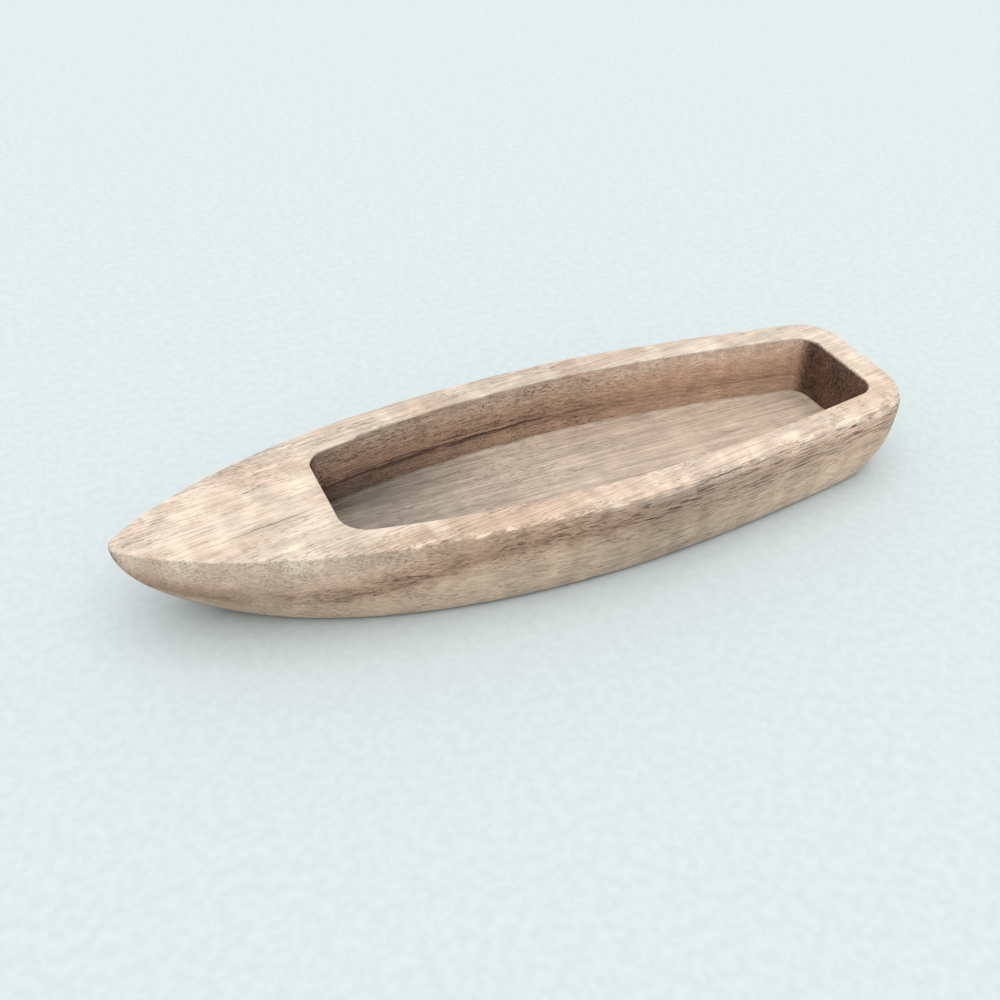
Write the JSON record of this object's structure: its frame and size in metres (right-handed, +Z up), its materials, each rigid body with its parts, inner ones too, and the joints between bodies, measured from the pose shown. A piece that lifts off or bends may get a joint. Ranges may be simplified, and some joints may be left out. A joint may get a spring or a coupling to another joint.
{
  "type": "incense burner",
  "caption": "Small wooden boat with a pointed bow, a flat transom and a routed tray that holds incense and its ash.",
  "frame": {"origin": "middle of the length and of the beam, on the flat underside", "axes": "+X along the boat towards the stern, so the bow points along -X; +Y to one side; +Z up, out of the deck"},
  "size_m": [0.1794, 0.055, 0.0222],
  "materials": {
    "walnut": "bare pale walnut, sanded, matt, no varnish"
  },
  "bodies": {
    "root": {"hull": "walnut"}
  },
  "joints": []
}
